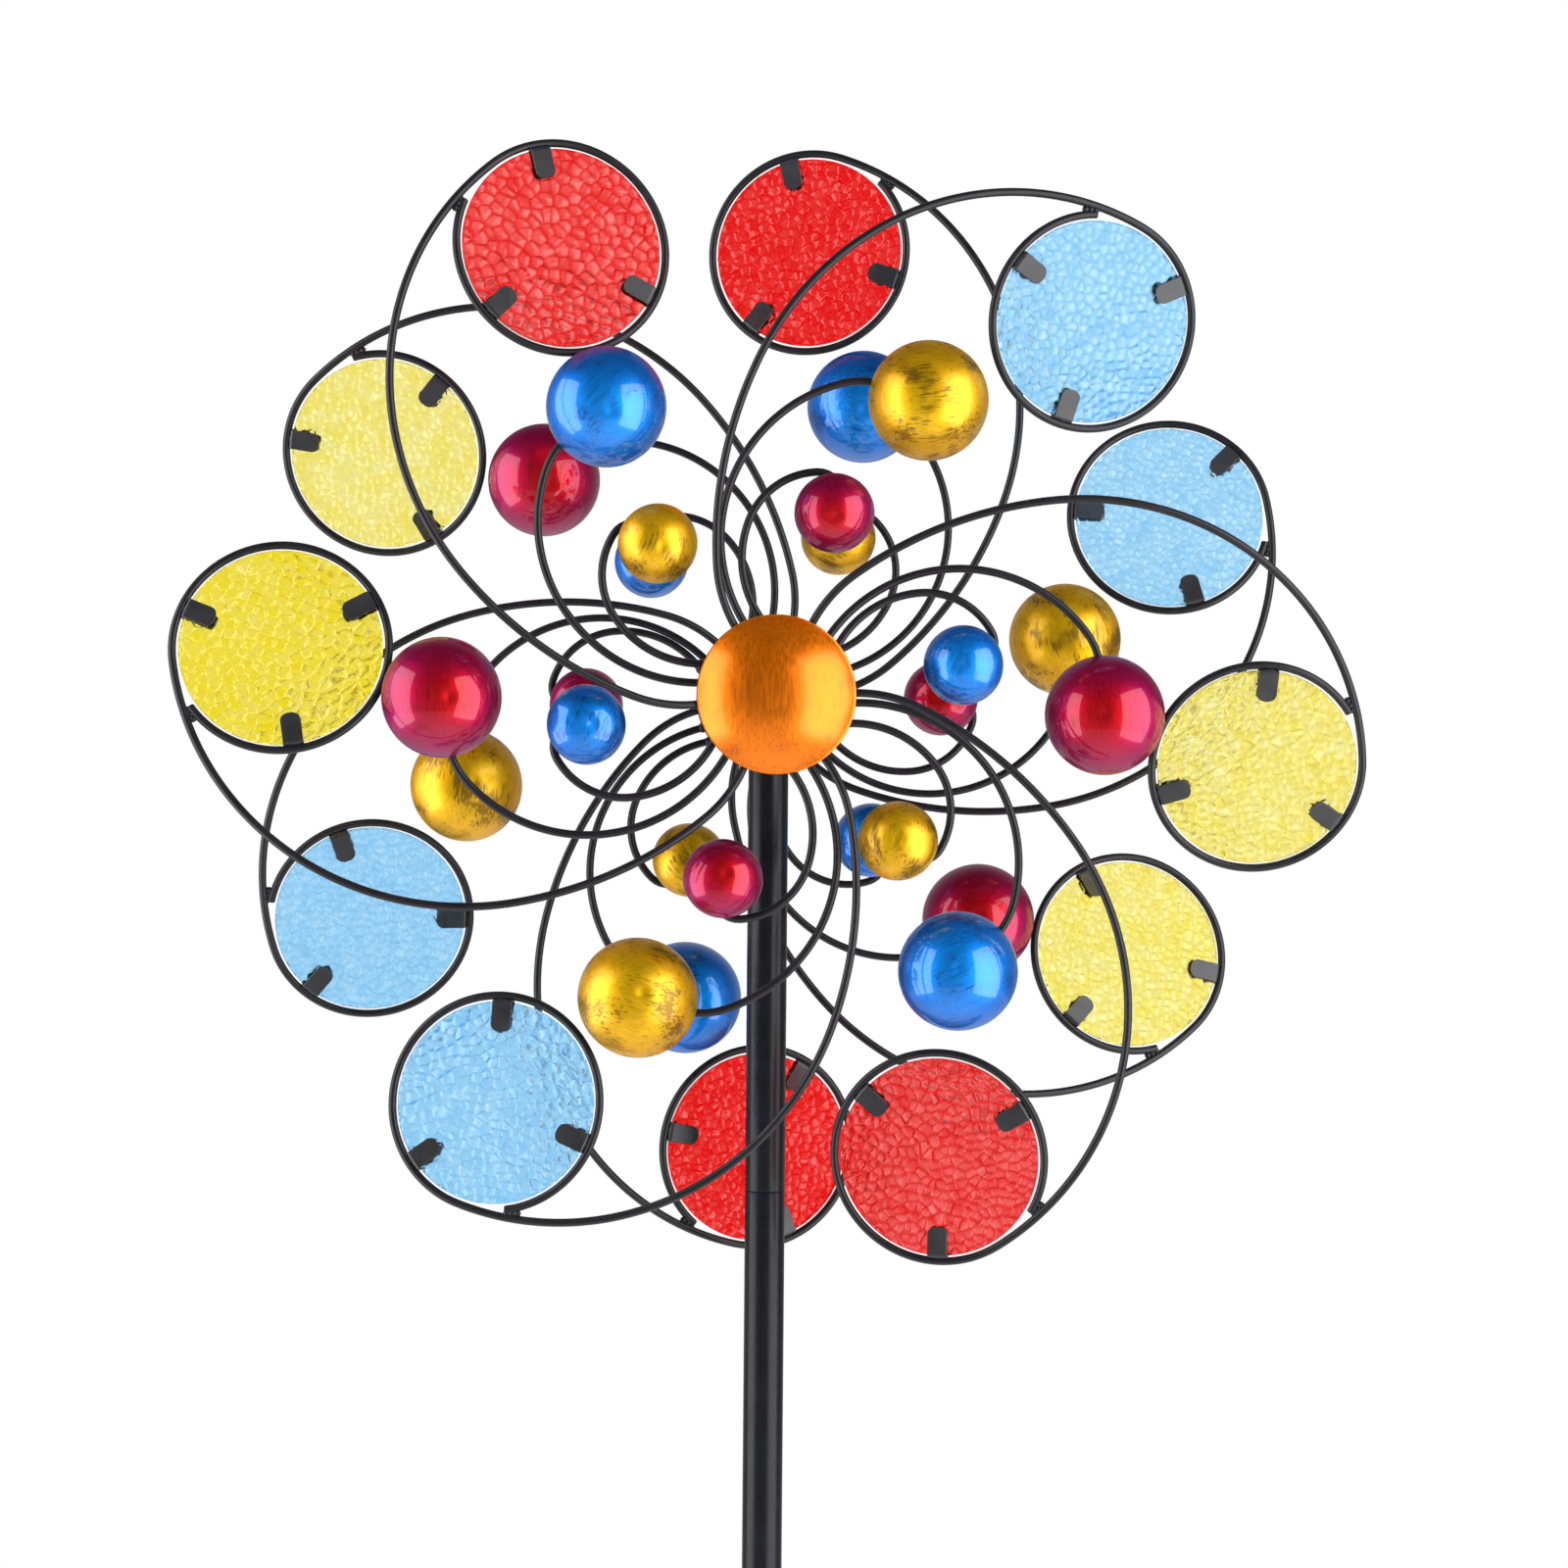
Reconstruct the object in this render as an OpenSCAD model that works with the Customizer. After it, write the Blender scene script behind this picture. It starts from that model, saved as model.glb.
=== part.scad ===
// Kinetic wind sculpture: two wheels of scrolled wire turn opposite ways on one axle at the top of
// a garden pole. Each arm carries a glass disc in a wire ring, a large cup and a small cup.
// Axes: +Z up, -Y towards the viewer's side, origin on the pole's centre line at ground level.

/* [Wheels] */
// Distance between the middle planes of the front and rear wheels
wheel_gap = 115; // [112:1:130]
// Turn of the front wheel at rest, degrees
front_turn = 113; // [0:0.1:360]
// Turn of the rear wheel at rest, degrees
rear_turn = 86.7; // [0:0.1:360]
// Hand-bent error of each glass ring, degrees, on the front and rear wheels
ring_skews = [[3, -3, -1, -3, 3, 2], [-2, -2, -1, 3, 3, 1]];
// Hand-bent error of each large cup, degrees, on the front and rear wheels
large_skews = [[-1, 1, -5, 2, 4, -1], [-3, -3, 0, 1, 2, 1]];
// Hand-bent error of each small cup, degrees, on the front and rear wheels
small_skews = [[-2, 2, -1, 0, 4, -1], [0, -5, 2, 0, -3, 4]];
// Lean of each glass ring and its scroll, sweep side forward, degrees
pitch = 16; // [10:1:18]

/* [Wire scrolls] */
// Diameter of the wire
wire_d = 4; // [3.6:0.1:4.2]
// Distance from the axle to the middle of a glass disc, on the front and rear wheels
glass_reach = [245, 240];
// Radius of the ring around the glass, to the wire's centre line
ring_r = 53; // [53:0.1:54]

/* [Glass] */
// Diameter of a glass disc
glass_d = 100; // [96:1:100]
// Thickness of a glass disc
glass_t = 4; // [3.6:0.1:4]
// Width of a retaining clip
clip_w = 10; // [8:0.5:11]
// Length of glass that a clip's finger covers
clip_reach = 15; // [10:1:18]
// Thickness of the clip's strip
clip_t = 1; // [0.8:0.1:1.2]
// Angles of the clips around each disc
clip_angles = [99, 209, 338];
// Hand-placed turn of each disc's clips, degrees, on the front and rear wheels
clip_skews = [[9, -5, -4, 2, 2, 5], [4, 1, 0, 2, 1, -2]];

/* [Cups] */
// Diameter of a large cup
large_cup_d = 60; // [56:1:62]
// Distance from the axle to the middle of a large cup
large_cup_reach = 165; // [160:1:168]
// Diameter of a small cup
small_cup_d = 40; // [36:1:41]
// Distance from the axle to the middle of a small cup
small_cup_reach = 95; // [92:1:96]
// Thickness of a cup's sheet
cup_t = 1.2; // [1.2:0.1:1.5]
// Angle from a cup's pole to its rim, degrees
cup_sweep = 75; // [65:1:80]
// Lean of each cup towards the axle, degrees
cup_lean = 12; // [8:1:14]
// Height of a cup's rim above the wire's centre line
rim_lift = 5; // [4.5:0.5:8]

/* [Hub] */
// Outside diameter of the hub drum
drum_d = 72; // [70:1:74]
// Diameter of the domed hub cap
cap_d = 79; // [78:1:84]
// Height of the hub cap's dome
cap_h = 16; // [14:1:20]
// Diameter of the axle
axle_d = 8; // [7:0.5:9]
// Radial running clearance of the bushes on the axle
axle_play = 0.06; // [0.02:0.01:0.1]

/* [Pole] */
// Height of the axle above the ground
hub_height = 1405; // [1300:5:1500]
// Outside diameter of the pole
pole_d = 20.6; // [20:0.1:22]
// Wall of the pole's tube
pole_wall = 1.5; // [1.2:0.1:1.6]
// Distance from the axle down to the swivel seam
seam_drop = 255; // [200:5:300]
// Length of each lower pole section
section_len = 575; // [500:5:580]
// Length of each spigot
spigot_len = 60; // [40:5:80]

/* [Ground stake] */
// Diameter of the centre spike
spike_d = 12; // [10:1:14]
// Depth of the centre spike's round part
spike_len = 170; // [150:5:180]
// Diameter of a side prong
prong_d = 8; // [6:1:10]
// Distance from the pole's centre line to a side prong
prong_reach = 75; // [60:5:90]

/* [Hidden] */
$fn = 48;
FRONT = 0;
REAR = 1;
arms = 6;
arm_step = 360 / arms;
plane = [wheel_gap / 2, -wheel_gap / 2];
turn = [front_turn, rear_turn];
large_lead = [9, 12];
small_lead = [17.5, 21];
glass_colours = ["crimson", "lightblue", "khaki"];
large_colours = ["royalblue", "goldenrod", "mediumvioletred"];
small_colours = ["goldenrod", "mediumvioletred", "royalblue"];
colour_count = 3;
wire_colour = "dimgray";
steel_colour = "silver";

// A scroll is a chain of tangent arcs: centre of the first arc, radii, and the angles between them.
outer_radii = [ring_r, 145, 198, 70];
outer_turns = [-315, 14, 105, 135, 166.5];
middle_radii = [40, 80];
middle_turns = [-14, 42, 154.5];
inner_radii = [12, 38, 52];
inner_turns = [-105, 20, 87, 145];
bend_r = 6;
ferrule_d = wire_d + 0.5;
ferrule_len = 1.6;
joint_gap = 0.15;
stub_d = 3;
stub_setback = 3;

drum_r = drum_d / 2;
drum_wall = 2;
drum_back = -4;
drum_front = 14;
plate_t = 2.5;
barrel_r = 9;
bush_r = 6;
bush_back = -12;
bush_front = 15;
flange_r = 9;
flange_t = 1.5;
cap_t = 1.2;
cap_skirt_t = 1.2;
cap_skirt_h = 5;

axle_r = axle_d / 2;
sleeve_r = 8;
sleeve_half = 30;
washer_r = 8;
washer_t = 1;
end_play = 0.1;
nut_w = 14;
nut_h = 6.5;
cap_nut_r = 5.8;

pole_r = pole_d / 2;
bore_r = pole_r - pole_wall;
swivel_play = 0.06;
seat_gap = 0.2;
seam_z = hub_height - seam_drop;
joint_z = seam_z - section_len;
pole_top = 22;
top_cap_h = 4;
top_cap_plug = 10;
foot_z = 6;

collar_r = 13.5;
collar_h = 70;
prong_z = 22;
prong_bend = 14;
prong_depth = 165;
point_len = 30;
screw_z = 50;
screw_r = 2.5;
screw_head_r = 4.5;
screw_head_h = 4;

// Places

function dir(a) = [cos(a), sin(a)];
function arc_centre(first, radii, turns, i) =
    i == 0 ? first
    : arc_centre(first, radii, turns, i - 1) + (radii[i - 1] - radii[i]) * dir(turns[i]);
function dome_r(d) = d / 2 / sin(cup_sweep);
function dome_h(d) = dome_r(d) * (1 - cos(cup_sweep));
function seat_z(d) = rim_lift + (dome_h(d) - cup_t) * cos(cup_lean);
function seat_x(d, reach) = reach - dome_h(d) * sin(cup_lean);

// Puts children from axle coordinates, +Z forward along the axle, into the part's frame.
module on_axle() {
    translate([0, 0, hub_height])
        rotate([90, 0, 0])
            children();
}

// Puts children from one arm's coordinates, +X outward and sweep side +Y, onto a wheel.
module on_arm(side, k, skew = 0, lead = 0) {
    on_axle()
        translate([0, 0, plane[side]])
            rotate(turn[side] - arm_step * k + skew)
                mirror([0, side, 0])
                    rotate(lead)
                        children();
}

module on_ring(side, k) {
    on_arm(side, k, skew = ring_skews[side][k])
        rotate([pitch, 0, 0])
            children();
}

// Wires

// One bend of wire about the origin, from angle a0 to a1, a hair short at each end.
module bend(r, a0, a1) {
    trim = joint_gap / r * 180 / PI;
    rotate(a0 + trim)
        rotate_extrude(angle = a1 - a0 - 2 * trim, $fn = 96)
            translate([r, 0])
                circle(d = wire_d, $fn = 24);
}

// The short ferrule that joins two bends of wire, at angle a on a bend of radius r.
module ferrule(r, a) {
    rotate([0, 0, a])
        translate([r, 0, 0])
            rotate([90, 0, 0])
                cylinder(d = ferrule_d, h = ferrule_len, center = true);
}

module bent_wire(first, radii, turns) {
    for (i = [0:len(radii) - 1])
        translate(arc_centre(first, radii, turns, i)) {
            bend(radii[i], turns[i], turns[i + 1]);
            if (i > 0)
                ferrule(radii[i], turns[i]);
        }
}

// The ring's end stops just short of the incoming wire, and a short stub welds the two together.
module outer_wire(side, k) {
    ring_centre = [glass_reach[side], 0];
    foot = ring_centre + ring_r * dir(outer_turns[0] + stub_setback);
    out = foot - arc_centre(ring_centre, outer_radii, outer_turns, 1);
    color(wire_colour)
        on_ring(side, k) {
            bent_wire(ring_centre, outer_radii, outer_turns);
            translate(foot)
                rotate([0, 90, atan2(out[1], out[0])])
                    cylinder(d = stub_d, h = outer_radii[1] - norm(out));
        }
}

// A wire whose outer end turns forward and stands up as a peg inside its cup.
module cup_wire(d, reach, radii, turns) {
    heading = turns[0] - 90;
    peg = [seat_x(d, reach), 0];
    arc_end = peg - bend_r * dir(heading);
    weld_depth = cup_t / 3;
    bent_wire(arc_end - radii[0] * dir(turns[0]), radii, turns);
    translate([arc_end[0], arc_end[1], bend_r])
        rotate([-90, 0, heading]) {
            bend(bend_r, 0, 90);
            ferrule(bend_r, 0);
            ferrule(bend_r, 90);
        }
    translate([peg[0], peg[1], bend_r + joint_gap])
        cylinder(d = wire_d, h = seat_z(d) - bend_r + weld_depth - joint_gap);
}

module middle_wires(side) {
    color(wire_colour)
        for (k = [0:arms - 1])
            on_arm(side, k, large_skews[side][k], large_lead[side])
                cup_wire(large_cup_d, large_cup_reach, middle_radii, middle_turns);
}

module inner_wires(side) {
    color(wire_colour)
        for (k = [0:arms - 1])
            on_arm(side, k, small_skews[side][k], small_lead[side])
                cup_wire(small_cup_d, small_cup_reach, inner_radii, inner_turns);
}

// Glass and clips

module glass(side, k) {
    color(glass_colours[k % colour_count], 0.6)
        on_ring(side, k)
            translate([glass_reach[side], 0, -glass_t / 2])
                cylinder(d = glass_d, h = glass_t, $fn = 96);
}

module clip_finger(z) {
    tip_r = clip_w / 2;
    finger_len = clip_reach - tip_r + clip_t;
    translate([glass_d / 2 + clip_t - finger_len, 0, z])
        linear_extrude(clip_t) {
            circle(r = tip_r);
            translate([0, -tip_r])
                square([finger_len, clip_w]);
        }
}

module clip() {
    clip_finger(glass_t / 2);
    clip_finger(-glass_t / 2 - clip_t);
    web_h = glass_t + 2 * clip_t;
    web_t = ring_r - wire_d / 2 - glass_d / 2 + 0.4;
    translate([glass_d / 2, -clip_w / 2, -web_h / 2])
        cube([web_t, clip_w, web_h]);
}

module clips(side) {
    color(wire_colour)
        for (k = [0:arms - 1])
            on_ring(side, k)
                translate([glass_reach[side], 0, 0])
                    for (a = clip_angles)
                        rotate(a + clip_skews[side][k])
                            clip();
}

// Cups

module cup(d) {
    dimple_r = 4;
    dimple_depth = 0.4;
    rotate([0, -cup_lean, 0])
        translate([0, 0, cup_t - dome_r(d)])
            difference() {
                sphere(r = dome_r(d), $fn = 64);
                sphere(r = dome_r(d) - cup_t, $fn = 64);
                translate([-d, -d, dome_r(d) * cos(cup_sweep) - 2 * d])
                    cube(2 * d);
                translate([0, 0, dome_r(d) + dimple_r - dimple_depth])
                    sphere(r = dimple_r, $fn = 24);
            }
}

module cups(side, d, reach, skews, lead, colours, first) {
    color(colours[first])
        for (k = [first:colour_count:arms - 1])
            on_arm(side, k, skews[side][k], lead[side])
                translate([seat_x(d, reach), 0, seat_z(d)])
                    cup(d);
}

module large_cups(side, first) {
    cups(side, large_cup_d, large_cup_reach, large_skews, large_lead, large_colours, first);
}

module small_cups(side, first) {
    cups(side, small_cup_d, small_cup_reach, small_skews, small_lead, small_colours, first);
}

// Hubs

module tube(r_out, r_in, z0, z1) {
    translate([0, 0, z0])
        difference() {
            cylinder(r = r_out, h = z1 - z0);
            translate([0, 0, -1])
                cylinder(r = r_in, h = z1 - z0 + 2);
        }
}

module hub(side) {
    color(wire_colour)
        on_axle()
            translate([0, 0, plane[side]]) {
                tube(drum_r, drum_r - drum_wall, drum_back, drum_front, $fn = 96);
                tube(drum_r, bush_r, drum_back, drum_back + plate_t, $fn = 96);
                tube(barrel_r, bush_r, bush_back, bush_front);
            }
}

module bush(side) {
    bore = axle_r + axle_play;
    color("tan")
        on_axle()
            translate([0, 0, plane[side]]) {
                tube(bush_r, bore, bush_back, bush_front);
                tube(flange_r, bore, bush_back - flange_t, bush_back);
            }
}

module hub_cap() {
    r = cap_d / 2;
    dome = (r * r + cap_h * cap_h) / (2 * cap_h);
    skirt_r = drum_r - drum_wall;
    centre = drum_front + cap_h - dome;
    inner = dome - cap_t;
    skirt_top = sqrt(inner * inner - skirt_r * skirt_r) + cap_t / 2;
    color("darkorange")
        on_axle()
            translate([0, 0, plane[FRONT]]) {
                difference() {
                    translate([0, 0, centre])
                        sphere(r = dome, $fn = 128);
                    translate([0, 0, centre])
                        sphere(r = inner, $fn = 128);
                    translate([-dome, -dome, drum_front - 3 * dome])
                        cube([2 * dome, 2 * dome, 3 * dome]);
                }
                tube(skirt_r, skirt_r - cap_skirt_t, drum_front - cap_skirt_h,
                     centre + skirt_top, $fn = 96);
            }
}

// Axle

front_bush_end = plane[FRONT] + bush_front;
front_bush_start = plane[FRONT] + bush_back - flange_t;
rear_bush_end = plane[REAR] + bush_front;
rear_bush_start = plane[REAR] + bush_back - flange_t;
axle_front = front_bush_end + end_play + washer_t + nut_h + 2;
axle_rear = rear_bush_start - end_play - washer_t - nut_h - 2;

module axle() {
    color(steel_colour)
        on_axle()
            translate([0, 0, axle_rear])
                cylinder(r = axle_r, h = axle_front - axle_rear);
}

module axle_sleeve() {
    color(wire_colour)
        on_axle()
            tube(sleeve_r, axle_r, -sleeve_half, sleeve_half);
}

module spacers() {
    color(steel_colour)
        on_axle() {
            tube(washer_r, axle_r, sleeve_half, front_bush_start - washer_t - end_play);
            tube(washer_r, axle_r, rear_bush_end + washer_t + end_play, -sleeve_half);
        }
}

module washers() {
    color(steel_colour)
        on_axle()
            for (z = [front_bush_start - washer_t - end_play, front_bush_end + end_play,
                      rear_bush_end + end_play, rear_bush_start - washer_t - end_play])
                tube(washer_r, axle_r, z, z + washer_t);
}

module hex_nut(z) {
    translate([0, 0, z])
        cylinder(r = nut_w / 2 / cos(30), h = nut_h, $fn = 6);
}

module front_lock_nut() {
    z = front_bush_end + end_play + washer_t;
    color(steel_colour)
        on_axle()
            difference() {
                hex_nut(z);
                translate([0, 0, z - 1])
                    cylinder(r = axle_r, h = nut_h + 2);
            }
}

module rear_cap_nut() {
    z = rear_bush_start - end_play - washer_t - nut_h;
    color(steel_colour)
        on_axle()
            difference() {
                union() {
                    hex_nut(z);
                    translate([0, 0, z])
                        sphere(r = cap_nut_r);
                }
                translate([0, 0, axle_rear])
                    cylinder(r = axle_r, h = nut_h + 3);
            }
}

// Pole

module upper_pole() {
    color(wire_colour)
        difference() {
            tube(pole_r, bore_r, seam_z + seat_gap, hub_height + pole_top);
            on_axle()
                translate([0, 0, -sleeve_half])
                    cylinder(r = sleeve_r, h = 2 * sleeve_half);
        }
}

module pole_top_cap() {
    color("black")
        translate([0, 0, hub_height + pole_top]) {
            cylinder(r = pole_r, h = top_cap_h);
            translate([0, 0, -top_cap_plug])
                cylinder(r = bore_r, h = top_cap_plug);
        }
}

module pole_section(z0, z1, spigot_r) {
    color(wire_colour) {
        tube(pole_r, bore_r, z0, z1);
        tube(spigot_r, spigot_r - pole_wall, z1 - spigot_len / 2, z1 + spigot_len);
        tube(pole_r, spigot_r - pole_wall, z1 - pole_wall, z1);
    }
}

module middle_pole() {
    pole_section(joint_z, seam_z, bore_r - swivel_play);
}

module lower_pole() {
    pole_section(foot_z, joint_z, bore_r);
}

// Ground stake

module prong() {
    translate([0, 0, prong_z])
        rotate([0, 90, 0])
            translate([0, 0, pole_r + 1])
                cylinder(d = prong_d, h = prong_reach - prong_bend - pole_r - 1);
    translate([prong_reach - prong_bend, 0, prong_z - prong_bend])
        rotate([90, 0, 0])
            rotate_extrude(angle = 90)
                translate([prong_bend, 0])
                    circle(d = prong_d, $fn = 24);
    translate([prong_reach, 0, -prong_depth])
        cylinder(d = prong_d, h = prong_depth + prong_z - prong_bend);
    translate([prong_reach, 0, -prong_depth - point_len])
        cylinder(d1 = 1, d2 = prong_d, h = point_len);
}

module ground_fork() {
    color(wire_colour)
        difference() {
            union() {
                cylinder(r = collar_r, h = collar_h);
                for (a = [45:90:315])
                    rotate(a)
                        prong();
            }
            translate([0, 0, -1])
                cylinder(r = pole_r, h = collar_h + 2);
            for (a = [0, 180])
                rotate([90, 0, a])
                    translate([0, screw_z, 0])
                        cylinder(r = screw_r, h = collar_r + 1);
        }
}

module centre_spike() {
    color(wire_colour) {
        cylinder(r = pole_r, h = foot_z);
        translate([0, 0, -spike_len])
            cylinder(d = spike_d, h = spike_len);
        translate([0, 0, -spike_len - point_len])
            cylinder(d1 = 1, d2 = spike_d, h = point_len);
    }
}

module collar_screws() {
    color(steel_colour)
        for (a = [0, 180])
            rotate([90, 0, a])
                translate([0, screw_z, pole_r]) {
                    cylinder(r = screw_r, h = collar_r - pole_r);
                    translate([0, 0, collar_r - pole_r])
                        cylinder(r = screw_head_r, h = screw_head_h);
                }
}

// Nodes

for (k = [0:arms - 1]) {
    outer_wire(FRONT, k);
    outer_wire(REAR, k);
    glass(FRONT, k);
    glass(REAR, k);
}
middle_wires(FRONT);  // front_middle_wires
middle_wires(REAR);  // rear_middle_wires
inner_wires(FRONT);  // front_inner_wires
inner_wires(REAR);  // rear_inner_wires
clips(FRONT);  // front_clips
clips(REAR);  // rear_clips
for (i = [0:colour_count - 1]) {
    large = ["blue", "gold", "magenta"][i];
    small = ["gold", "magenta", "blue"][i];
    large_cups(FRONT, i);
    large_cups(REAR, i);
    small_cups(FRONT, i);
    small_cups(REAR, i);
}
hub(FRONT);  // front_hub
hub(REAR);  // rear_hub
bush(FRONT);  // front_bush
bush(REAR);  // rear_bush
hub_cap();
axle();
axle_sleeve();
spacers();
washers();
front_lock_nut();
rear_cap_nut();
upper_pole();
pole_top_cap();
middle_pole();
lower_pole();
ground_fork();
centre_spike();
collar_screws();
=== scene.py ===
"""Looks of a kinetic wind sculpture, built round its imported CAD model.

Two wheels of scrolled wire turn on one axle at the top of a staked pole. Lengths are in millimetres
until a mesh is made. Axle coordinates have +Z forward along the axle and +Y up.
"""
import math
import random

import bpy
import numpy as np
from mathutils import Matrix, Vector
from mathutils.geometry import delaunay_2d_cdt

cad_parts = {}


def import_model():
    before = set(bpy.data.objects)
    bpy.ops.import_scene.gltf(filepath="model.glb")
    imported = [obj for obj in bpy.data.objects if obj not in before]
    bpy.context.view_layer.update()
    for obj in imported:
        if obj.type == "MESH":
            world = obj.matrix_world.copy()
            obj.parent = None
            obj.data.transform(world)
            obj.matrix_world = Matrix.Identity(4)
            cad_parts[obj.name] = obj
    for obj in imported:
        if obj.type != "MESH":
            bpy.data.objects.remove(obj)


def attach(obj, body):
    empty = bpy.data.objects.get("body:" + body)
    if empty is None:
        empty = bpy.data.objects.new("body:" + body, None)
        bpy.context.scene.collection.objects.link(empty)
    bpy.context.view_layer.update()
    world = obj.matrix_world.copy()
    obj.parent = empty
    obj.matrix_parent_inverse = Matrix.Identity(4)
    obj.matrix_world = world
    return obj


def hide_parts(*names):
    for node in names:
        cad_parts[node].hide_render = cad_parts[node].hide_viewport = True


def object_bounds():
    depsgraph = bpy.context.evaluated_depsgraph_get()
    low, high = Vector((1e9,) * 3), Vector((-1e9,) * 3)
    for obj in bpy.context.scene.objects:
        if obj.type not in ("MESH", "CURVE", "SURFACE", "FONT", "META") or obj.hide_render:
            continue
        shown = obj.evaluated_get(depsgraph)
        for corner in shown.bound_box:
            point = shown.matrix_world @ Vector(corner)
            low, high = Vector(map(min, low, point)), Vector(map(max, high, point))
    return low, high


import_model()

cad_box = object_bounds()

MM = 0.001
FRONT, REAR = 0, 1
SIDES = ["front", "rear"]
BODIES = ["front_wheel", "rear_wheel"]

# ---- Driving dimensions, the same as the CAD model's ----

ARMS = 6
HUB_HEIGHT = 1405
PLANE = [57.5, -57.5]
TURN = [113, 86.7]
# Skews are the hand-bent errors of single arms on the front and rear wheels, in degrees
RING_SKEWS = [[3, -3, -1, -3, 3, 2], [-2, -2, -1, 3, 3, 1]]
PITCH = 16

WIRE_R = 2
GLASS_REACH = [245, 240]
OUTER_RADII = [53, 145, 198, 70]
OUTER_TURNS = [-315, 14, 105, 135, 166.5]
RING_OVERRUN = 4    # degrees that the ring's end runs on, to meet its own scroll
PEG_BEND = 6

GLASS_R = 50
GLASS_HALF = 2
# Spacing of each disc's bumps in millimetres, and how pale each disc is, from 0 to 1, partly each disc's own
# tint and partly a painted haze of reflected light
GLASS_BUMPS = [[4.3, 3.4, 3.4, 3.5, 3.6, 4.0], [3.5, 3.2, 3.3, 3.3, 3.2, 3.0]]
GLASS_PALENESS_AND_HAZE = [[0.9, 0.6, 0.7, 0.9, 0.4, 0.0], [0.05, 0.8, 0.7, 0.05, 0.5, 0.9]]
# For each colour: the length of its bumps, and its grooves' tone in parts of the bump's, lower as painted
# shade in the pits between the bumps
GLASS_STRETCH = [1.12, 1.15, 1.2]
GROOVE_PAINTED_SHADE = [0.25, 0.5, 0.75]
CLIP_ANGLES = [99, 209, 338]
CLIP_SKEWS = [[9, -5, -4, 2, 2, 5], [4, 1, 0, 2, 1, -2]]
CLIP_W = 10
CLIP_REACH = 15
CLIP_T = 1

LARGE_CUP = {"name": "large", "colours": ["blue", "gold", "magenta"], "d": 60, "reach": 165,
             "skews": [[-1, 1, -5, 2, 4, -1], [-3, -3, 0, 1, 2, 1]], "lead": [9, 12],
             "wires": "middle", "radii": [40, 80], "turns": [-14, 42, 154.5]}
SMALL_CUP = {"name": "small", "colours": ["gold", "magenta", "blue"], "d": 40, "reach": 95,
             "skews": [[-2, 2, -1, 0, 4, -1], [0, -5, 2, 0, -3, 4]], "lead": [17.5, 21],
             "wires": "inner", "radii": [12, 38, 52], "turns": [-105, 20, 87, 145]}
CUP_T = 1.2
CUP_SWEEP = math.radians(75)
CUP_LEAN = 12
RIM_LIFT = 5

DRUM_R = 36
DRUM_WALL = 2
DRUM_BACK = -4
DRUM_FRONT = 14
PLATE_T = 2.5
BARREL_R = 9
BUSH_R = 6
BUSH_BACK = -12
BUSH_FRONT = 15
FLANGE_R = 9
FLANGE_T = 1.5
CAP_R = 39.5
CAP_H = 16
CAP_T = 1.2
SKIRT_H = 5

AXLE_R = 4
AXLE_PLAY = 0.06
SLEEVE_R = 8
SLEEVE_HALF = 30
WASHER_R = 8
WASHER_T = 1
END_PLAY = 0.1
NUT_APOTHEM = 7
NUT_H = 6.5
CAP_NUT_R = 5.8
AXLE_TAIL = 2

POLE_R = 10.3
BORE_R = 8.8
POLE_WALL = 1.5
POLE_TOP = HUB_HEIGHT + 22
SEAM_Z = 1150
JOINT_Z = 575
SEAT_GAP = 0.2
SWIVEL_PLAY = 0.06
SPIGOT = 60
FOOT_Z = 6
TOP_CAP_H = 4
TOP_CAP_PLUG = 10

COLLAR_R = 13.5
COLLAR_H = 70
SPIKE_R = 6
SPIKE_LEN = 170
PRONG_R = 4
PRONG_REACH = 75
PRONG_Z = 22
PRONG_BEND = 14
PRONG_DEPTH = 165
POINT_LEN = 30
POINT_R = 0.5
SCREW_Z = 50
SCREW_R = 2.5
SCREW_HEAD_R = 4.5
SCREW_HEAD_H = 4

# Half-sizes of the welds
HUB_WELD = (2.7, 2.7, 2.9)
RING_WELD = (1.8, 1.8, 1.5)
CUP_WELD = (3.4, 3.4, 1.4)
CLIP_WELD = (0.7, CLIP_W / 2 - 0.6, 2.2)

EASE = 0.4          # rounding of a machined or cut edge
WIRE_SIDES = 16
WIRE_STEP = 2.5     # distance between the rings of a swept wire
LATHE_SIDES = 96
GRAIN_SPREAD = 900  # how far apart the grain of two pieces may lie


# ---- Places ----

def shift(x, y, z):
    place = np.eye(4)
    place[:3, 3] = (x, y, z)
    return place


def turned(axis, degrees):
    return np.array(Matrix.Rotation(math.radians(degrees), 4, axis))


MIRROR_Y = np.diag([1.0, -1.0, 1.0, 1.0])
UPRIGHT = np.eye(4)
ON_AXLE = shift(0, 0, HUB_HEIGHT) @ turned("X", 90)


def on_wheel(side):
    """From a wheel's coordinates, with its plane at z = 0, to the row frame."""
    return ON_AXLE @ shift(0, 0, PLANE[side])


def on_arm(side, k, skew=0, lead=0):
    """From one arm's coordinates, +X outward and sweep side +Y, to the row frame."""
    flip = MIRROR_Y if side == REAR else np.eye(4)
    return on_wheel(side) @ turned("Z", TURN[side] - 360 / ARMS * k + skew) @ flip @ turned("Z", lead)


def on_ring(side, k):
    """From an outer scroll's coordinates, pitched about its arm, to the row frame."""
    return on_arm(side, k, RING_SKEWS[side][k]) @ turned("X", PITCH)


def direction(degrees):
    a = math.radians(degrees)
    return np.array([math.cos(a), math.sin(a)])


# ---- Mesh building ----

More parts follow.
